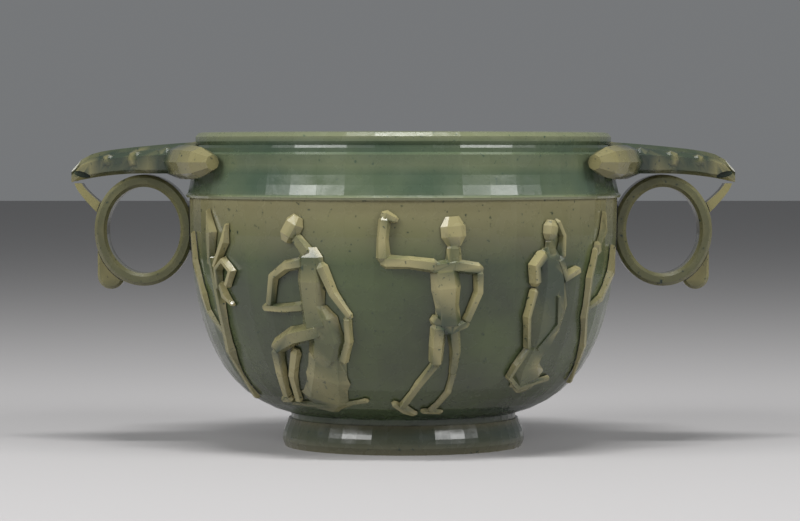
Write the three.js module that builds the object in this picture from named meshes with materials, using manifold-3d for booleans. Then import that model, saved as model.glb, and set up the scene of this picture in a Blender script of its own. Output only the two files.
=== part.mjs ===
// A skyphos: a two-handled drinking cup of lead-glazed terracotta with figures in relief.
// It is put together as a potter does it. The bowl is pressed in a mould, the collar and the foot are
// thrown, each ring handle is a bent strap under a moulded thumb plate, and the reliefs are pressed
// in small moulds. Every piece is luted to its neighbour with slip, which leaves a thin joint.
// Millimetres, +Z up, origin at the centre of the foot's resting face, handles along X, front at -Y.
import * as THREE from "three";
import { mergeVertices } from "three/addons/utils/BufferGeometryUtils.js";
import Module from "manifold-3d";

const wasm = await Module();
wasm.setup();

// Joints and facets
const LUTING_GAP = 0.3; // slip joint between two curved pieces
const TURN_FACETS = 48; // facets round every turned piece

// Foot
const FOOT_HEIGHT = 7.4;
const FOOT_RADIUS = 31.7; // at the widest part of its roll
const FOOT_TOP_RADIUS = 30.0;
const FOOT_RECESS_RADIUS = 24.5; // inside of the ring at the resting face
const FOOT_ROLL_HEIGHT = 1.7; // height of the widest part
const FOOT_EDGE_RADIUS = 31.0; // outer edge of the resting face
const FOOT_SEAT_RADIUS = 22.5; // inside of the ring where it meets the bowl

// Bowl
const BOWL_HEIGHT = 57.6; // from the foot's seat to the seam under the collar
const WALL_RADIUS = 56.0; // outside, at the seam
const WALL_THICKNESS = 4.0;
const FLOOR_THICKNESS = 4.5;
const NECK_RADIUS = 29.4; // the waist that stands on the foot
const BELLY_OVERRUN = 0.4; // how far the wall's full curve would run on below the seat
const WALL_STEPS = 13;

// Collar and lip
const RIDGE_PROJECTION = 1.0; // the collar's bottom edge beyond the wall
const RIDGE_HEIGHT = 1.2;
const COLLAR_HEIGHT = 11.2;
const COLLAR_TOP_INSET = 0.6; // the collar's top edge inside the wall's radius
const COLLAR_HOLLOW = 0.45; // how far its face is hollowed between the edges
const GROOVE_HEIGHT = 2.1;
const GROOVE_DEPTH = 1.5;
const LIP_HEIGHT = 3.6;
const LIP_WIDTH = 3.9;
const LIP_SETBACK = 1.5; // the lip's outermost line inside the wall's radius

// Ring handles
const RING_HOLE_WIDTH = 19.2;
const RING_HOLE_HEIGHT = 22.6;
const RING_THICKNESS = 3.2;
const RING_BREADTH = 10.6; // across the strap
const RING_EDGE = 0.8; // softened edge of the strap
const RING_BITE = 1.0; // how far the ring is pressed into the wall's curve
const RING_FACETS = 32;

// Thumb plates
const PLATE_RISE = 6.2; // underside of the plate above the seam
const PLATE_THICKNESS = 8.3; // at the rim
const PLATE_DROOP = 3.4; // fall of its top towards the tip
const PLATE_UNDER_FALL = 2.3; // fall of its underside towards the tip
const PLATE_ROOT_HALF_WIDTH = 15.0;
const PLATE_TIP_HALF_WIDTH = 4.4;
const PLATE_LOBE_WAVE = 1.1; // how far the leaf's lobes swell beyond the taper
const PLATE_LOBES = 3;
const PLATE_STEPS = 14;
const TIP_OVERHANG = 6.3; // tip beyond the outside of the ring
const MIDRIB_HEIGHT = 0.9;
const ARM_RADIUS = 4.4; // the arms that hug the rim
const ARM_SPREAD = 35; // degrees from the handle's axis to the end of an arm
const ARM_RISE = 9.2; // middle of an arm above the seam
const ARM_STAND_OFF = 2.6; // middle of an arm outside the wall's radius
const REAR_ARM_LIFT = 3.6; // the rear arms climb above the lip
const ARM_STEPS = 12;
const CURL_RADIUS = 3.3; // rolled leaf lobes on the plate's edges
const BEAK_SLOT_LENGTH = 4.6;
const BEAK_SLOT_HEIGHT = 1.5;

// Tip strap and spur
const STRAP_THICKNESS = 1.9;
const STRAP_BREADTH = 6.6;
const STRAP_FOOT_ANGLE = 24; // degrees above the ring's middle where the strap meets it
const SPUR_BREADTH = 6.2;
const SPUR_DROP = 14.6; // bottom of the spur below the ring's middle
const SPUR_TOP_DROP = 5.5; // top of the spur below the ring's middle
const SPUR_RADIUS = 2.7;

// Reliefs
const RELIEF_SINK = 1.2; // limbs are started this far below the wall, then cut to it
const LIMB_STEPS = 1; // steps in each span of a limb
const LIMB_SIDES = 6;

// Heights and places that follow from the sizes
const seatZ = FOOT_HEIGHT;
const seamZ = seatZ + BOWL_HEIGHT;
const collarTopZ = seamZ + COLLAR_HEIGHT;
const lipBottomZ = collarTopZ + GROOVE_HEIGHT;
const lipTopZ = lipBottomZ + LIP_HEIGHT;
const wallDrop = BOWL_HEIGHT + BELLY_OVERRUN;
const innerRadius = WALL_RADIUS - WALL_THICKNESS;
const innerDrop = BOWL_HEIGHT - FLOOR_THICKNESS;
const ringOuterHalfWidth = RING_HOLE_WIDTH / 2 + RING_THICKNESS;
const ringOuterHalfHeight = RING_HOLE_HEIGHT / 2 + RING_THICKNESS;
const plateUnderZ = seamZ + PLATE_RISE;
const ringZ = plateUnderZ - LUTING_GAP - ringOuterHalfHeight;
const ringX = wallRadiusAt(ringZ) - RING_BITE + ringOuterHalfWidth;
const plateTipX = ringX + ringOuterHalfWidth + TIP_OVERHANG;

const glaze = (color, roughness) => new THREE.MeshStandardMaterial({ color, roughness, metalness: 0 });
const wallGlaze = glaze(0x3f5230, 0.3);
const collarGlaze = glaze(0x5c6b48, 0.25);
const footGlaze = glaze(0x47542f, 0.4);
const handleGlaze = glaze(0x3a4a31, 0.3);
const reliefGlaze = glaze(0x6a6d48, 0.35);

// The wall's curve is a superellipse: radius falls with the fourth root, depth with the power 2.5.
function wallCurve(angle, radius, drop) {
  return new THREE.Vector2(
    radius * Math.sqrt(Math.max(Math.cos(angle), 0)),
    seamZ - drop * Math.sin(angle) ** 0.8,
  );
}

function wallRadiusAt(height) {
  const depth = (seamZ - height) / wallDrop;
  return WALL_RADIUS * (1 - depth ** 2.5) ** 0.25;
}

// A closed three.js geometry as a solid.
function solidOf(geometry) {
  const bare = geometry.clone();
  bare.deleteAttribute("normal");
  bare.deleteAttribute("uv");
  const merged = mergeVertices(bare, 1e-4);
  return new wasm.Manifold(
    new wasm.Mesh({
      numProp: 3,
      vertProperties: merged.attributes.position.array,
      triVerts: new Uint32Array(merged.index.array),
    }),
  );
}

function geometryOf(solid) {
  const mesh = solid.getMesh();
  const positions = new Float32Array(mesh.numVert * 3);
  for (let i = 0; i < mesh.numVert; i++) {
    positions.set(mesh.vertProperties.subarray(i * mesh.numProp, i * mesh.numProp + 3), i * 3);
  }
  const geometry = new THREE.BufferGeometry();
  geometry.setAttribute("position", new THREE.BufferAttribute(positions, 3));
  geometry.setIndex(new THREE.BufferAttribute(new Uint32Array(mesh.triVerts), 1));
  geometry.computeVertexNormals();
  return geometry;
}

function joined(solids) {
  return solids.reduce((all, solid) => all.add(solid));
}

// A profile of radius and height, turned about the cup's axis. One that stays off the axis is a ring.
function turned(profile) {
  const outline = THREE.ShapeUtils.area(profile) > 0 ? [...profile] : [...profile].reverse();
  if (outline[0].x > 0) outline.push(outline[0].clone());
  const geometry = new THREE.LatheGeometry(outline, TURN_FACETS);
  geometry.rotateX(Math.PI / 2);
  return solidOf(geometry);
}

const at = (radius, height) => new THREE.Vector2(radius, height);

// A closed tube through cross-sections that all have the same number of points.
function tubeSolid(sections) {
  const sides = sections[0].length;
  const centreOf = (section) =>
    section.reduce((sum, p) => sum.add(p), new THREE.Vector3()).divideScalar(sides);
  const first = centreOf(sections[0]);
  const last = centreOf(sections[sections.length - 1]);
  const spin = new THREE.Vector3();
  for (let j = 0; j < sides; j++) {
    const a = sections[0][j].clone().sub(first);
    const b = sections[0][(j + 1) % sides].clone().sub(first);
    spin.add(a.cross(b));
  }
  const forward = spin.dot(centreOf(sections[1]).sub(first)) > 0;
  const points = [...sections.flat(), first, last];
  const firstIndex = sections.length * sides;
  const triangles = [];
  const addTriangle = (a, b, c) => triangles.push(...(forward ? [a, b, c] : [a, c, b]));
  for (let j = 0; j < sides; j++) {
    const next = (j + 1) % sides;
    for (let i = 0; i < sections.length - 1; i++) {
      const low = i * sides;
      const high = low + sides;
      addTriangle(low + j, low + next, high + next);
      addTriangle(low + j, high + next, high + j);
    }
    const top = (sections.length - 1) * sides;
    addTriangle(firstIndex, next, j);
    addTriangle(firstIndex + 1, top + j, top + next);
  }
  return new wasm.Manifold(
    new wasm.Mesh({
      numProp: 3,
      vertProperties: new Float32Array(points.flatMap((p) => [p.x, p.y, p.z])),
      triVerts: new Uint32Array(triangles),
    }),
  );
}

// Wall outline from the seam down to the neck, moved outwards by a distance along its normal.
function outerWall(offset) {
  const end = Math.acos((NECK_RADIUS / WALL_RADIUS) ** 2);
  const points = [];
  for (let i = 0; i <= WALL_STEPS; i++) {
    points.push(wallCurve((end * i) / WALL_STEPS, WALL_RADIUS, wallDrop));
  }
  return points.map((p, i) => {
    const before = points[Math.max(i - 1, 0)];
    const after = points[Math.min(i + 1, WALL_STEPS)];
    const along = after.clone().sub(before).normalize();
    return at(p.x - along.y * offset, p.y + along.x * offset);
  });
}

function bowl() {
  const outside = outerWall(0);
  const inside = [];
  for (let i = 0; i <= WALL_STEPS; i++) {
    inside.push(wallCurve((Math.PI / 2) * (1 - i / WALL_STEPS), innerRadius, innerDrop));
  }
  inside[0].x = 0;
  return turned([...inside, ...outside, at(NECK_RADIUS, seatZ), at(0, seatZ)]);
}

// What the reliefs and rings are trimmed to: the whole bowl, larger by the slip joint.
function bowlTrim() {
  const outside = outerWall(LUTING_GAP);
  const last = outside[outside.length - 1];
  const above = at(WALL_RADIUS + LUTING_GAP, seamZ + RIDGE_HEIGHT);
  return turned([at(0, above.y), above, ...outside.slice(1), at(last.x, seatZ), at(0, seatZ)]);
}

function footRing() {
  const roll = [];
  const rollSteps = 5;
  for (let i = 0; i <= rollSteps; i++) {
    const share = i / rollSteps;
    const bulge = (FOOT_RADIUS - FOOT_TOP_RADIUS) * Math.sin((share * Math.PI) / 2);
    roll.push(at(FOOT_TOP_RADIUS + bulge, seatZ - (seatZ - FOOT_ROLL_HEIGHT) * share));
  }
  return turned([
    at(FOOT_SEAT_RADIUS, seatZ),
    ...roll,
    at(FOOT_EDGE_RADIUS, 0),
    at(FOOT_RECESS_RADIUS, 0),
  ]);
}

// Outer outline of collar, groove and lip, from the ridge up to the lip's crown.
function collarOutline(offset) {
  const ridge = WALL_RADIUS + RIDGE_PROJECTION + offset;
  const top = WALL_RADIUS - COLLAR_TOP_INSET + offset;
  const foot = ridge - RIDGE_PROJECTION * 0.6;
  const lip = WALL_RADIUS - LIP_SETBACK + offset;
  const faceSteps = 4;
  const face = [];
  for (let i = 0; i <= faceSteps; i++) {
    const share = i / faceSteps;
    const hollow = COLLAR_HOLLOW * Math.sin(share * Math.PI);
    const low = seamZ + RIDGE_HEIGHT;
    face.push(at(foot + (top - foot) * share - hollow, low + (collarTopZ - low) * share));
  }
  const groove = top - GROOVE_DEPTH;
  const lipArc = [-60, -20, 20, 60].map((degrees) => {
    const turn = THREE.MathUtils.degToRad(degrees);
    const middle = lip - LIP_HEIGHT / 2;
    return at(middle + (Math.cos(turn) * LIP_HEIGHT) / 2, lipBottomZ + (LIP_HEIGHT / 2) * (1 + Math.sin(turn)));
  });
  return [
    at(ridge - RIDGE_PROJECTION * 0.4, seamZ),
    at(ridge, seamZ + RIDGE_HEIGHT * 0.5),
    ...face,
    at(groove, collarTopZ + GROOVE_HEIGHT * 0.3),
    at(groove, lipBottomZ - GROOVE_HEIGHT * 0.2),
    ...lipArc,
  ];
}

function rimCollar() {
  const crown = WALL_RADIUS - LIP_SETBACK - LIP_WIDTH * 0.55;
  const lipInside = WALL_RADIUS - LIP_SETBACK - LIP_WIDTH;
  return turned([
    at(innerRadius, seamZ),
    ...collarOutline(0),
    at(crown, lipTopZ),
    at(lipInside, lipTopZ - LIP_HEIGHT * 0.35),
    at(lipInside, lipBottomZ),
  ]);
}

// What the thumb plates and rings are trimmed to: the collar, larger by the slip joint.
function collarTrim() {
  const outline = collarOutline(LUTING_GAP);
  outline[0].y = seamZ - LUTING_GAP;
  const crownZ = lipTopZ + LUTING_GAP;
  const crown = WALL_RADIUS - LIP_SETBACK - LIP_WIDTH * 0.3;
  return turned([at(0, seamZ - LUTING_GAP), ...outline, at(crown, crownZ), at(0, crownZ)]);
}

// A flat outline in the plane of the handles, given a breadth across it.
function acrossHandle(shape, breadth, edge, facets) {
  const geometry = new THREE.ExtrudeGeometry(shape, {
    depth: breadth - 2 * edge,
    bevelEnabled: edge > 0,
    bevelSize: edge,
    bevelOffset: -edge,
    bevelThickness: edge,
    bevelSegments: 1,
    curveSegments: facets,
  });
  geometry.translate(0, 0, edge - breadth / 2);
  geometry.rotateX(Math.PI / 2);
  return geometry;
}

function ellipseSolid(growth, breadth) {
  const shape = new THREE.Shape();
  shape.absellipse(ringX, ringZ, ringOuterHalfWidth + growth, ringOuterHalfHeight + growth, 0, 2 * Math.PI);
  return solidOf(acrossHandle(shape, breadth, 0, RING_FACETS));
}

function handleRing() {
  const shape = new THREE.Shape();
  shape.absellipse(ringX, ringZ, ringOuterHalfWidth, ringOuterHalfHeight, 0, 2 * Math.PI);
  const hole = new THREE.Path();
  hole.absellipse(ringX, ringZ, RING_HOLE_WIDTH / 2, RING_HOLE_HEIGHT / 2, 0, 2 * Math.PI);
  shape.holes.push(hole);
  return solidOf(acrossHandle(shape, RING_BREADTH, RING_EDGE, RING_FACETS));
}

// A point on the rim's circle: angle in degrees from the handle's axis, towards the rear.
function onRim(radius, degrees, height) {
  const turn = THREE.MathUtils.degToRad(degrees);
  return new THREE.Vector3(radius * Math.cos(turn), radius * Math.sin(turn), height);
}

// The two arms are one roll that follows the rim, with rounded ends.
function plateArms() {
  const middleRadius = WALL_RADIUS + ARM_STAND_OFF;
  const sections = [];
  for (let i = 0; i <= ARM_STEPS; i++) {
    const share = (2 * i) / ARM_STEPS - 1;
    const roundEnd = Math.sqrt(Math.max(1 - Math.abs(share) ** 8, 0.2));
    const climb = REAR_ARM_LIFT * Math.max(share, 0) ** 2;
    const size = ARM_RADIUS * roundEnd;
    const section = [];
    for (let j = 0; j < 8; j++) {
      const turn = (j * Math.PI) / 4;
      section.push(
        onRim(
          middleRadius + size * Math.cos(turn),
          share * ARM_SPREAD,
          seamZ + ARM_RISE + climb + size * Math.sin(turn),
        ),
      );
    }
    sections.push(section);
  }
  return tubeSolid(sections);
}

// The plate is a drooping leaf: widest at the rim, waved by its lobes, with a midrib along the top.
function plateLeaf() {
  const rootX = WALL_RADIUS - LIP_SETBACK - LIP_WIDTH;
  const sections = [];
  for (let i = 0; i <= PLATE_STEPS; i++) {
    const share = i / PLATE_STEPS;
    const x = rootX + (plateTipX - rootX) * share;
    const beyondRing = Math.max((x - ringX) / (plateTipX - ringX), 0);
    const nose = Math.sqrt(Math.max(1 - share ** 12, 0.18));
    const taper = (1 - share) ** 1.35;
    const wave = PLATE_LOBE_WAVE * Math.sin(share * PLATE_LOBES * 2 * Math.PI) * (1 - share);
    const half = (PLATE_TIP_HALF_WIDTH + (PLATE_ROOT_HALF_WIDTH - PLATE_TIP_HALF_WIDTH) * taper + wave) * nose;
    const under = plateUnderZ - PLATE_UNDER_FALL * beyondRing ** 2;
    const fullTop = plateUnderZ + PLATE_THICKNESS - PLATE_DROOP * share ** 1.4;
    const top = under + (fullTop - under) * nose;
    const shoulder = top - MIDRIB_HEIGHT;
    const middle = (under + top) / 2;
    sections.push(
      [
        [0, top],
        [half * 0.18, shoulder],
        [half * 0.7, shoulder - 0.3],
        [half, middle + 1],
        [half * 0.95, under + 1],
        [half * 0.7, under],
      ].flatMap(([y, z], k) => (k ? [[y, z], [-y, z]] : [[y, z]]))
        .sort((p, q) => Math.atan2(p[1] - middle, p[0]) - Math.atan2(q[1] - middle, q[0]))
        .map(([y, z]) => new THREE.Vector3(x, y, z)),
    );
  }
  return tubeSolid(sections);
}

// Rolled lobes stand out on both edges of the leaf.
function plateCurls() {
  const curls = [];
  for (const [share, size, out] of [[0.3, 1, 0.7], [0.52, 0.8, 0.75], [0.72, 0.62, 0.8]]) {
    const rootX = WALL_RADIUS - LIP_SETBACK - LIP_WIDTH;
    const half = PLATE_TIP_HALF_WIDTH + (PLATE_ROOT_HALF_WIDTH - PLATE_TIP_HALF_WIDTH) * (1 - share) ** 1.35;
    const height = plateUnderZ + PLATE_THICKNESS / 2 - (PLATE_DROOP / 2) * share ** 1.4;
    for (const side of [-1, 1]) {
      const geometry = new THREE.SphereGeometry(CURL_RADIUS * size, 8, 6);
      geometry.scale(1, 0.8, 1);
      geometry.translate(rootX + (plateTipX - rootX) * share, side * half * out, height);
      curls.push(solidOf(geometry));
    }
  }
  return curls;
}

// A slot across the tip parts the leaf's rolled end from the curl under it.
function beakSlot() {
  const shape = new THREE.Shape();
  const middleX = plateTipX - BEAK_SLOT_LENGTH * 0.62;
  const middleZ = plateUnderZ - PLATE_UNDER_FALL + (PLATE_THICKNESS - PLATE_DROOP) * 0.42;
  shape.absellipse(middleX, middleZ, BEAK_SLOT_LENGTH / 2, BEAK_SLOT_HEIGHT / 2, 0, 2 * Math.PI, false, 0.25);
  const slot = solidOf(acrossHandle(shape, PLATE_TIP_HALF_WIDTH * 3, 0, 5));
  const web = new THREE.BoxGeometry(BEAK_SLOT_LENGTH * 2, PLATE_TIP_HALF_WIDTH, BEAK_SLOT_LENGTH);
  web.translate(middleX, 0, middleZ);
  return slot.subtract(solidOf(web));
}

function thumbPlate(trims) {
  const whole = joined([plateLeaf(), plateArms(), ...plateCurls()]);
  const underRing = ellipseSolid(LUTING_GAP, RING_BREADTH * 3);
  return trims.reduce((rest, trim) => rest.subtract(trim), whole).subtract(underRing).subtract(beakSlot());
}

// A band curls from the plate's tip down to the ring's shoulder.
function tipStrap() {
  const turn = THREE.MathUtils.degToRad(STRAP_FOOT_ANGLE);
  const footX = ringX + ringOuterHalfWidth * Math.cos(turn);
  const footZ = ringZ + ringOuterHalfHeight * Math.sin(turn);
  const topX = plateTipX - STRAP_THICKNESS * 0.5;
  const topZ = plateUnderZ - PLATE_UNDER_FALL - LUTING_GAP;
  const bendX = topX - STRAP_THICKNESS * 0.4;
  const bendZ = (topZ + footZ) / 2 + 0.5;
  const shape = new THREE.Shape();
  shape.moveTo(topX, topZ);
  shape.quadraticCurveTo(bendX, bendZ, footX, footZ - STRAP_THICKNESS);
  shape.lineTo(footX - STRAP_THICKNESS, footZ);
  shape.quadraticCurveTo(bendX - STRAP_THICKNESS, bendZ + 0.8, topX - STRAP_THICKNESS, topZ);
  shape.closePath();
  const band = solidOf(acrossHandle(shape, STRAP_BREADTH, 0, 6));
  return band.subtract(ellipseSolid(LUTING_GAP, RING_BREADTH * 2));
}

// A blunt spur hangs from the ring's outer flank, for the second finger to press on.
function handleSpur() {
  const outerX = ringX + ringOuterHalfWidth - 0.6;
  const bottomZ = ringZ - SPUR_DROP;
  const topZ = ringZ - SPUR_TOP_DROP;
  const shape = new THREE.Shape();
  shape.moveTo(outerX, topZ);
  shape.lineTo(outerX - 3 * SPUR_RADIUS, topZ - SPUR_RADIUS);
  shape.lineTo(outerX - 2.6 * SPUR_RADIUS, bottomZ + SPUR_RADIUS);
  shape.absarc(outerX - 1.3 * SPUR_RADIUS, bottomZ + SPUR_RADIUS, 1.3 * SPUR_RADIUS, Math.PI, 2 * Math.PI, false);
  shape.closePath();
  const lug = solidOf(acrossHandle(shape, SPUR_BREADTH, 0.7, 6));
  return lug.subtract(ellipseSolid(LUTING_GAP, RING_BREADTH * 2));
}

// Places on the wall are measured in its own surface: the drop is the length of wall below the seam.
const wallTable = (() => {
  const samples = 240;
  const rows = [];
  let length = 0;
  for (let i = 0; i <= samples; i++) {
    const point = wallCurve((Math.PI / 2) * (i / samples), WALL_RADIUS, wallDrop);
    if (i) length += point.distanceTo(rows[i - 1].point);
    rows.push({ length, point });
  }
  return rows;
})();

function wallAt(drop) {
  const next = Math.max(wallTable.findIndex((row) => row.length >= drop), 1);
  const [a, b] = [wallTable[next - 1], wallTable[next]];
  const share = (drop - a.length) / (b.length - a.length);
  const along = b.point.clone().sub(a.point).normalize();
  return { point: a.point.clone().lerp(b.point, share), normal: at(-along.y, along.x) };
}

// A point over the wall: angle from the front, then across, drop and lift in millimetres.
function overWall(angle, across, drop, lift) {
  const { point, normal } = wallAt(drop);
  const turn = THREE.MathUtils.degToRad(angle) + across / point.x;
  const radius = point.x + normal.x * lift;
  return new THREE.Vector3(radius * Math.sin(turn), -radius * Math.cos(turn), point.y + normal.y * lift);
}

// A limb lies along the wall. Each station is [across, drop, half-width, relief].
function limb(angle, stations) {
  const route = new THREE.CatmullRomCurve3(stations.map(([across, drop]) => new THREE.Vector3(across, drop, 0)));
  const girth = new THREE.CatmullRomCurve3(stations.map((s) => new THREE.Vector3(s[2], s[3], 0)));
  const steps = LIMB_STEPS * (stations.length - 1);
  const section = (t, beyond, scale) => {
    const ahead = route.getTangent(t);
    const middle = route.getPoint(t).addScaledVector(ahead, beyond * girth.getPoint(t).x);
    const { x: half, y: relief } = girth.getPoint(t).multiplyScalar(scale);
    return Array.from({ length: LIMB_SIDES }, (_, k) => {
      const turn = (2 * Math.PI * k) / LIMB_SIDES;
      const side = half * Math.cos(turn);
      const lift = Math.sin(turn) * (Math.sin(turn) > 0 ? relief * 1.1 : RELIEF_SINK);
      return overWall(angle, middle.x - ahead.y * side, middle.y + ahead.x * side, lift);
    });
  };
  const sections = [section(0, -0.7, 0.55)];
  for (let i = 0; i <= steps; i++) sections.push(section(i / steps, 0, 1));
  sections.push(section(1, 0.7, 0.55));
  return tubeSolid(sections);
}

// A seated figure on a rock, one hand resting on the raised knee.
const SEATED = {
  rock: [[2.5, 40, 5.6, 1.2], [1, 46, 6.4, 1.4], [-2, 53.5, 7.6, 1.2]],
  groundLine: [[-13, 55.2, 1.1, 1], [-3, 56, 1.2, 1.1], [9, 53.5, 0.9, 0.8]],
  torso: [[0.8, 14, 3.5, 1.9], [0.8, 20, 4, 2.5], [0.6, 26, 3.4, 2.3], [1.5, 31, 4.4, 2.5]],
  head: [[-3.4, 5.6, 2.7, 2.2], [-5, 8.4, 2.8, 2.6]],
  neck: [[-3, 9.4, 1.6, 1.6], [0, 13, 2, 1.8]],
  bentArm: [[-1.5, 15.5, 1.7, 2], [-6, 16.3, 1.6, 2], [-10, 18.9, 1.5, 1.8], [-11.6, 25.8, 1.4, 1.5]],
  restingArm: [[-13.3, 26.9, 1.3, 1.3], [-8, 27, 1.3, 1.6], [-2, 26.4, 1.5, 1.8]],
  rearArm: [[3.8, 16.5, 1.7, 2], [6.4, 23, 1.4, 1.8], [10, 28.6, 1.1, 1.4]],
  lap: [[2.5, 29.5, 4.6, 2.3], [3.4, 35, 5.1, 2.3], [1.8, 39.4, 4.6, 1.7]],
  thigh: [[1.5, 32.4, 2.5, 2.7], [-5.5, 34, 2.6, 2.9], [-10.8, 36.8, 2.3, 2.7]],
  shin: [[-11.2, 38, 1.9, 2.3], [-11.8, 44, 1.7, 2], [-13.2, 52, 1.4, 1.6]],
  frontFoot: [[-12.6, 53.4, 1.3, 1.5], [-16, 54.4, 1, 1.1]],
  backShin: [[-6, 38.5, 1.7, 1.7], [-8.6, 45, 1.5, 1.5], [-10, 53.8, 1.3, 1.4]],
  mantleEdge: [[9.4, 29.5, 1.2, 1.5], [9, 35, 1.3, 1.8], [6.6, 40.4, 1.5, 1.5]],
};

// A striding nude figure with one arm raised.
const STRIDING = {
  hand: [[-12.2, 3.8, 1.6, 2], [-9.8, 4.7, 1, 1.4]],
  forearm: [[-12.4, 4.8, 1.6, 2.3], [-12.9, 9.5, 1.6, 2.3], [-12.7, 14, 1.9, 2.4]],
  upperArm: [[-12, 15, 1.9, 2.4], [-6.5, 15.2, 1.7, 2.2], [-0.5, 16, 1.9, 2.2]],
  head: [[4.4, 6.3, 3.4, 1.5], [4.6, 8.9, 3.4, 1.6]],
  neck: [[4.6, 11.8, 1.9, 1.3], [4.6, 15, 2.3, 1.5]],
  shoulders: [[-0.5, 16.6, 1.8, 1.8], [5, 16, 2, 1.9], [10.8, 16.9, 1.7, 1.8]],
  torso: [[2.4, 17.6, 3.8, 2], [2.8, 21.5, 4, 2.2], [3.2, 26, 3.2, 2], [3.6, 30.5, 3.6, 2]],
  loweredArm: [[11, 18, 1.5, 1.9], [11.1, 22.6, 1.4, 1.8], [8.2, 29.6, 1.3, 1.5]],
  hips: [[0.2, 29.4, 1.6, 1.7], [4.4, 32, 1.7, 1.8], [8, 30.6, 1.3, 1.5]],
  thigh: [[1.2, 31.5, 2.2, 2.2], [1, 36, 2.1, 2.3], [1, 40.4, 1.9, 2.4]],
  frontShin: [[0.8, 41.6, 1.5, 1.4], [-2.4, 47, 1.3, 1.3], [-5.8, 55.2, 1.4, 1.5]],
  frontFoot: [[-8, 54.4, 1, 1.2], [-5, 57.3, 1.5, 1.4], [-2.4, 59.6, 1.1, 1.1]],
  backThigh: [[5, 32.5, 1.9, 1.4], [5.8, 38, 1.6, 1.1], [5.6, 44, 1.2, 0.9]],
  backShin: [[5.6, 44.5, 1.1, 0.9], [5, 50, 1.1, 1], [1.6, 57.6, 1.1, 1.2]],
  backFoot: [[-0.4, 58, 1, 1.1], [4, 58.7, 1, 1]],
};

// A standing figure wrapped in a mantle, one hand held out.
const DRAPED = {
  head: [[-1.6, 6.6, 2.2, 2.3], [-1.9, 8.6, 2.1, 2.3]],
  veil: [[0.6, 5.6, 1.1, 1.4], [2.8, 9, 1.1, 1.3], [2.4, 14, 1.6, 1.5]],
  neck: [[-1.6, 10.4, 1.4, 1.6], [-1.4, 13.4, 2, 1.8]],
  body: [[-1.5, 14.4, 4, 2.1], [-0.4, 20, 5.4, 2.3], [0.4, 27, 7, 2.1], [0.2, 33, 6, 2], [-0.4, 38, 4, 1.7]],
  wrappedArm: [[-4.2, 13.8, 1.7, 2.6], [-6.6, 16.4, 1.6, 2.6], [-5.8, 20.4, 1.5, 2.4]],
  heldOutArm: [[1.2, 15, 1.7, 2.3], [3.4, 19.6, 1.8, 2.5], [9, 17.7, 1.2, 1.9]],
  mantleFold: [[1.2, 24, 0.9, 2.7], [2.6, 31, 0.9, 2.5], [-2, 37.4, 0.9, 2.1]],
  leftEdge: [[-6, 22.6, 1, 2.1], [-7, 29, 0.9, 2.1], [-4.8, 37, 0.9, 1.9]],
  skirt: [[-1.4, 38, 3.6, 1.7], [-2, 43, 4.4, 1.7], [0, 47, 5.6, 1.4]],
  hem: [[-7, 45.4, 0.9, 1.5], [-2.5, 48.8, 1.1, 1.6], [7.4, 46.8, 0.8, 1.3]],
  skirtEdge: [[-4.4, 37.4, 0.9, 1.7], [-6.4, 42, 0.9, 1.7], [-6.8, 45.2, 0.9, 1.5]],
};

// A vine by the handle: two long leaves, a curled tendril and a stem that follows the wall down.
const VINE = {
  innerLeaf: [[-2.8, 3, 0.6, 1.2], [-0.8, 8.5, 1.8, 2.1], [-2.2, 16.4, 0.9, 1.6]],
  outerLeaf: [[6.2, 6.4, 0.5, 1.2], [5.4, 10.6, 1.3, 2], [0.2, 17, 0.9, 1.7]],
  tendril: [[1, 22.4, 1.1, 1.9], [1.4, 17.6, 1.1, 2], [4.6, 15.4, 1.1, 2], [7.6, 18, 1.1, 1.9], [5, 21.6, 1, 1.7]],
  bud: [[2, 21.5, 0.9, 1.6], [3.2, 24.4, 1.3, 1.7], [5.8, 26.6, 0.6, 1.2]],
  stem: [[-1.6, 15, 1, 1.7], [0.6, 26.5, 1.3, 1.9], [-1.2, 39, 1.5, 2], [-4.4, 54, 1.2, 1.4]],
  sideShoot: [[-0.6, 37, 0.9, 1.1], [-8.2, 29, 0.9, 1.3], [-9.4, 24.6, 1.3, 1.5], [-13.6, 16, 1.2, 1.4], [-14.6, 9, 0.7, 1.2]],
};

// A slender budding staff beside the other handle, with a trailing leaf.
const STAFF = {
  knob: [[-1.4, 11.6, 1.2, 1.6], [-1.2, 13.4, 1.3, 1.6]],
  staff: [[-2.2, 13, 0.9, 1.5], [-4.2, 20, 1, 1.6], [-3.4, 30, 1, 1.6], [1, 38, 1.1, 1.5], [6.4, 49, 1, 1.3]],
  leaf: [[-3, 28, 0.8, 1.2], [4, 25.6, 1.2, 1.5], [10, 19, 1.5, 1.8], [10.6, 12.6, 0.9, 1.4]],
  topLeaf: [[-1, 12.4, 0.8, 1.2], [2.2, 8, 1.4, 1.5], [2.6, 3.6, 0.6, 1.1]],
};

function relief(angle, limbs, trim) {
  return joined(Object.values(limbs).map((stations) => limb(angle, stations))).subtract(trim);
}

// Group that the finished cup is built into.
const cup = new THREE.Group();
function place(name, solid, material, turn = 0) {
  const mesh = new THREE.Mesh(geometryOf(solid), material);
  mesh.name = name;
  mesh.rotation.z = turn;
  cup.add(mesh);
}

place("bowl", bowl(), wallGlaze);
place("rim_collar", rimCollar(), collarGlaze);
place("foot_ring", footRing(), footGlaze);

const trimToBowl = bowlTrim();
const trimToCollar = collarTrim();
const ring = handleRing().subtract(trimToBowl).subtract(trimToCollar);
const plate = thumbPlate([trimToBowl, trimToCollar]);
const mirrorRearFront = (solid) => solid.mirror([0, 1, 0]);
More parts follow.
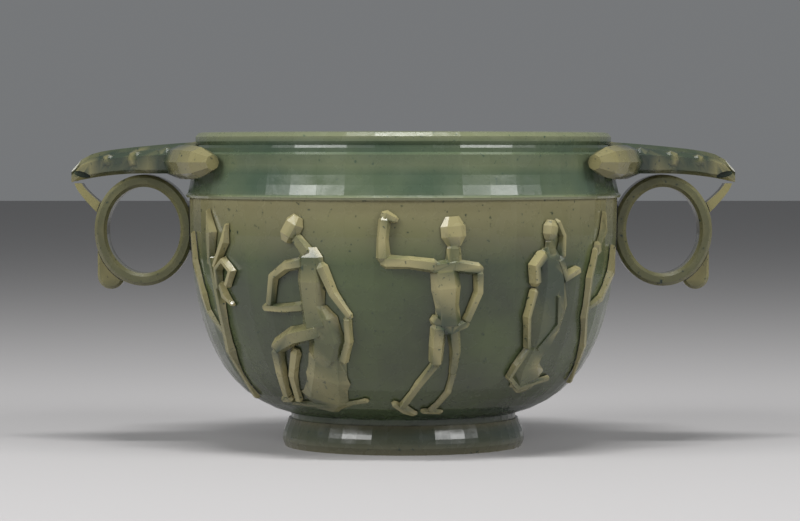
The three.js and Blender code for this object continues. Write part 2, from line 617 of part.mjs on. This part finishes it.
// The left handle is the right one turned half way round, with its climbing arm still at the rear.
for (const [side, turn, facing] of [["right", 0, (s) => s], ["left", Math.PI, mirrorRearFront]]) {
  place(`handle_ring_${side}`, ring, handleGlaze, turn);
  place(`thumb_plate_${side}`, facing(plate), handleGlaze, turn);
  place(`tip_strap_${side}`, tipStrap(), handleGlaze, turn);
  place(`handle_spur_${side}`, handleSpur(), handleGlaze, turn);
}

// Reliefs: the angle is taken from the front of the cup, towards its right-hand handle.
for (const [name, angle, limbs] of [
  ["vine_front", -58, VINE],
  ["seated_figure_front", -25, SEATED],
  ["striding_figure_front", 8, STRIDING],
  ["draped_figure_front", 42, DRAPED],
  ["staff_front", 62, STAFF],
  ["vine_back", 122, VINE],
  ["draped_figure_back", 153, DRAPED],
  ["striding_figure_back", 186, STRIDING],
  ["seated_figure_back", 221, SEATED],
  ["staff_back", 242, STAFF],
]) {
  place(name, relief(angle, limbs, trimToBowl), reliefGlaze);
}

export default cup;
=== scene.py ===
# %% [markdown]
# # A lead-glazed cup with figures in relief
# The cup is fired clay under a green lead glaze. On a real one the glaze runs off high places, where
# the clay shows tan through it, and pools dark in low ones. Finer surfaces could be made over the
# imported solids, but here the solids keep their own shapes and faces, and all the work is in the glaze.

# %% Load the cup
import math

import bpy
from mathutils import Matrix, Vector

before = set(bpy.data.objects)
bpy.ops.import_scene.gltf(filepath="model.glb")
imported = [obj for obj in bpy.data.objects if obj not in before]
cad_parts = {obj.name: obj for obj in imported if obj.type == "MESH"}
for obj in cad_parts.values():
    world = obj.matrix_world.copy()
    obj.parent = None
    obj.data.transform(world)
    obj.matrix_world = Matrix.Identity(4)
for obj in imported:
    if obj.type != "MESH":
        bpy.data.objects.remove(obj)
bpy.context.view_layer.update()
print("pieces:", sorted(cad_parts))

# %% [markdown]
# ## Camera
# The view is from 832 mm in front of the cup's axis and 77 mm above the table, with a long lens. The
# lens length is the distance divided by the picture's scale, 0.262 mm to a pixel at the axis. The
# picture's horizon lies above its middle, and that sets how far the camera looks down.

# %% Camera
CAMERA_DISTANCE = 0.832  # metres from the cup's axis
CAMERA_HEIGHT = 0.0773
CAMERA_SIDE = -0.00086
IMAGE_WIDTH = 800
IMAGE_HEIGHT = 521
HORIZON_ROW = 150  # pixels below the picture's top
FOCAL_PIXELS = 3175
SENSOR_WIDTH = 36.0  # millimetres

camera_data = bpy.data.cameras.new("camera")
camera_data.sensor_width = SENSOR_WIDTH
camera_data.lens = FOCAL_PIXELS / IMAGE_WIDTH * SENSOR_WIDTH
camera = bpy.data.objects.new("camera", camera_data)
look_down = math.atan((IMAGE_HEIGHT / 2 - HORIZON_ROW) / FOCAL_PIXELS)
camera.location = (CAMERA_SIDE, -CAMERA_DISTANCE, CAMERA_HEIGHT)
camera.rotation_euler = (math.pi / 2 - look_down, 0, 0)
bpy.context.scene.collection.objects.link(camera)
bpy.context.scene.camera = camera
bpy.context.scene.view_settings.view_transform = "Standard"
print(f"camera: {camera_data.lens:.1f} mm lens, {math.degrees(look_down):.2f} degrees down")

# %% [markdown]
# ## Glaze
# An image of a glaze would have to be wrapped on every piece. A pattern worked out from the place in
# space needs no wrapping, and runs on from piece to piece. One node group holds what every glazed
# piece shares: broad patches of two greens, fine dark specks, and the tan of thin glaze on edges,
# which Pointiness finds. The group puts out a colour, a roughness and a height.

# %% Glaze group
PATCH_SCALE = 45.0  # noise cells to a metre, here about 22 mm each
SPECK_SCALE = 900.0
GLOSS_SCALE = 160.0
RIPPLE_SCALE = 220.0
PATCH_SPAN = (0.38, 0.66)  # noise values from the body's colour to the pooled one
SPECK_SPAN = (0.66, 0.74)
EDGE_SPAN = (0.51, 0.6)  # pointiness from covered to worn; 0.5 is flat
GLOSS_SPAN = (0.3, 0.7)
ROUGHNESS_SPAN = (0.16, 0.38)


def glaze_group():
    """Patches from broad noise, specks from fine noise, and thin glaze from the pointiness of edges."""
    group = bpy.data.node_groups.new("glaze", "ShaderNodeTree")
    for name in ("Thin", "Body", "Pooled"):
        group.interface.new_socket(name, in_out="INPUT", socket_type="NodeSocketColor")
    group.interface.new_socket("Color", in_out="OUTPUT", socket_type="NodeSocketColor")
    group.interface.new_socket("Roughness", in_out="OUTPUT", socket_type="NodeSocketFloat")
    group.interface.new_socket("Height", in_out="OUTPUT", socket_type="NodeSocketFloat")
    nodes, links = group.nodes, group.links
    inputs = nodes.new("NodeGroupInput")
    outputs = nodes.new("NodeGroupOutput")
    place = nodes.new("ShaderNodeTexCoord")
    geometry = nodes.new("ShaderNodeNewGeometry")

    def noise(scale, detail):
        """Fractal noise on the object's own coordinates."""
        node = nodes.new("ShaderNodeTexNoise")
        node.inputs["Scale"].default_value = scale
        node.inputs["Detail"].default_value = detail
        links.new(place.outputs["Object"], node.inputs["Vector"])
        return node.outputs["Fac"]

    def spread(value, source, target=(0.0, 1.0)):
        """Carries a value from one range to another in a straight line, held at both ends."""
        node = nodes.new("ShaderNodeMapRange")
        ends = zip(("From Min", "From Max", "To Min", "To Max"), (*source, *target))
        for name, number in ends:
            node.inputs[name].default_value = number
        links.new(value, node.inputs["Value"])
        return node.outputs["Result"]

    def mix(share, first, second):
        """Blends two colours: all of the first at 0, all of the second at 1."""
        node = nodes.new("ShaderNodeMix")
        node.data_type = "RGBA"
        links.new(share, node.inputs["Factor"])
        links.new(first, node.inputs["A"])
        links.new(second, node.inputs["B"])
        return node.outputs["Result"]

    patches = spread(noise(PATCH_SCALE, 5.0), PATCH_SPAN)
    specks = spread(noise(SPECK_SCALE, 2.0), SPECK_SPAN)
    edges = spread(geometry.outputs["Pointiness"], EDGE_SPAN)
    body = mix(patches, inputs.outputs["Body"], inputs.outputs["Pooled"])
    worn = mix(edges, body, inputs.outputs["Thin"])
    speckled = mix(specks, worn, inputs.outputs["Pooled"])
    roughness = spread(noise(GLOSS_SCALE, 4.0), GLOSS_SPAN, ROUGHNESS_SPAN)
    links.new(speckled, outputs.inputs["Color"])
    links.new(roughness, outputs.inputs["Roughness"])
    links.new(noise(RIPPLE_SCALE, 6.0), outputs.inputs["Height"])
    return group


GLAZE = glaze_group()
print("glaze group:", len(GLAZE.nodes), "nodes")

# %% [markdown]
# ## One material for each glaze
# The group gives what changes over the surface. What is the same all over, the clear coat and its
# roughness, is set on the shader itself. The ripple of the glaze is a bump, as it is far too low to
# show in an outline.

# %% Glazed material
COAT_WEIGHT = 0.3
COAT_ROUGHNESS = 0.08
RIPPLE_STRENGTH = 0.25
RIPPLE_HEIGHT = 0.0004  # metres


def glazed(name, thin, body, pooled):
    """A glaze of three colours: thin on edges, the body's own, and pooled in patches and specks."""
    material = bpy.data.materials.new(name)
    material.use_nodes = True
    nodes, links = material.node_tree.nodes, material.node_tree.links
    shader = nodes["Principled BSDF"]
    shader.inputs["Coat Weight"].default_value = COAT_WEIGHT
    shader.inputs["Coat Roughness"].default_value = COAT_ROUGHNESS
    group = nodes.new("ShaderNodeGroup")
    group.node_tree = GLAZE
    for socket, color in (("Thin", thin), ("Body", body), ("Pooled", pooled)):
        group.inputs[socket].default_value = (*color, 1.0)
    bump = nodes.new("ShaderNodeBump")
    bump.inputs["Strength"].default_value = RIPPLE_STRENGTH
    bump.inputs["Distance"].default_value = RIPPLE_HEIGHT
    links.new(group.outputs["Color"], shader.inputs["Base Color"])
    links.new(group.outputs["Roughness"], shader.inputs["Roughness"])
    links.new(group.outputs["Height"], bump.inputs["Height"])
    links.new(bump.outputs["Normal"], shader.inputs["Normal"])
    return material


# %% [markdown]
# ## Glazes of the pieces
# The collar is a greyer green and the wall is olive. The reliefs stand up and are rubbed, so they are
# palest, and the handles are darkest.

# %% Give each piece its glaze
HANDLE_WORDS = ("handle_", "thumb_plate_", "tip_strap_")
WALL_GLAZE = glazed("wall_glaze", (0.22, 0.2, 0.1), (0.045, 0.07, 0.025), (0.02, 0.034, 0.018))
COLLAR_GLAZE = glazed("collar_glaze", (0.24, 0.24, 0.13), (0.085, 0.115, 0.065), (0.05, 0.08, 0.05))
FOOT_GLAZE = glazed("foot_glaze", (0.14, 0.13, 0.08), (0.05, 0.06, 0.035), (0.03, 0.045, 0.035))
HANDLE_GLAZE = glazed("handle_glaze", (0.2, 0.18, 0.08), (0.04, 0.055, 0.028), (0.015, 0.026, 0.022))
RELIEF_GLAZE = glazed("relief_glaze", (0.28, 0.25, 0.12), (0.12, 0.125, 0.055), (0.035, 0.05, 0.03))
TURNED_GLAZES = {"bowl": WALL_GLAZE, "rim_collar": COLLAR_GLAZE, "foot_ring": FOOT_GLAZE}

for name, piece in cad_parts.items():
    applied = HANDLE_GLAZE if name.startswith(HANDLE_WORDS) else RELIEF_GLAZE
    finish = TURNED_GLAZES.get(name, applied)
    piece.data.materials.clear()
    piece.data.materials.append(finish)
    print(name, "has", finish.name)

# %% [markdown]
# ## Floor and light
# The cup stands on a flat pale sheet under an even grey sky. Two large lamps light it from the front,
# left and right, and a narrow lamp lights the rim from above. They are kept low, so that a colour
# renders about as it is written.

# %% Floor and world
FLOOR_HALF = 4.0
FLOOR_COLOR = (0.42, 0.41, 0.41, 1)
FLOOR_ROUGHNESS = 0.8
SKY_COLOR = (0.3, 0.31, 0.32, 1)
SKY_STRENGTH = 0.6

corners = [(x * FLOOR_HALF, y * FLOOR_HALF, 0) for x, y in ((-1, -1), (1, -1), (1, 1), (-1, 1))]
floor_mesh = bpy.data.meshes.new("floor")
floor_mesh.from_pydata(corners, [], [(0, 1, 2, 3)])
floor = bpy.data.objects.new("floor", floor_mesh)
bpy.context.scene.collection.objects.link(floor)
pale = bpy.data.materials.new("pale_sheet")
pale.use_nodes = True
pale_shader = pale.node_tree.nodes["Principled BSDF"]
pale_shader.inputs["Base Color"].default_value = FLOOR_COLOR
pale_shader.inputs["Roughness"].default_value = FLOOR_ROUGHNESS
floor_mesh.materials.append(pale)

world = bpy.data.worlds.new("studio")
bpy.context.scene.world = world
world.use_nodes = True
sky = world.node_tree.nodes["Background"]
sky.inputs["Color"].default_value = SKY_COLOR
sky.inputs["Strength"].default_value = SKY_STRENGTH

# %% Lamps
CUP_MIDDLE = (0, 0, 0.045)


def lamp(name, place, width, depth, watts):
    """A rectangular soft lamp at a place, turned to face the cup's middle."""
    data = bpy.data.lights.new(name, "AREA")
    data.shape = "RECTANGLE"
    data.size = width
    data.size_y = depth
    data.energy = watts
    light = bpy.data.objects.new(name, data)
    light.location = place
    to_cup = Vector(CUP_MIDDLE) - Vector(place)
    light.rotation_euler = to_cup.to_track_quat("-Z", "Y").to_euler()
    bpy.context.scene.collection.objects.link(light)
    print(f"{name}: {watts} W, {to_cup.length:.2f} m from the cup")


lamp("left_soft", (-0.7, -0.5, 0.6), width=0.5, depth=0.5, watts=7)
lamp("right_soft", (0.7, -0.5, 0.6), width=0.5, depth=0.5, watts=6)
lamp("top_strip", (0, -0.25, 0.75), width=0.35, depth=0.08, watts=4)

# %% [markdown]
# ## Sizes
# Nothing was added to the solids, so the dressed cup fills the same box as they do.

# %% Sizes and finish
bpy.context.view_layer.update()
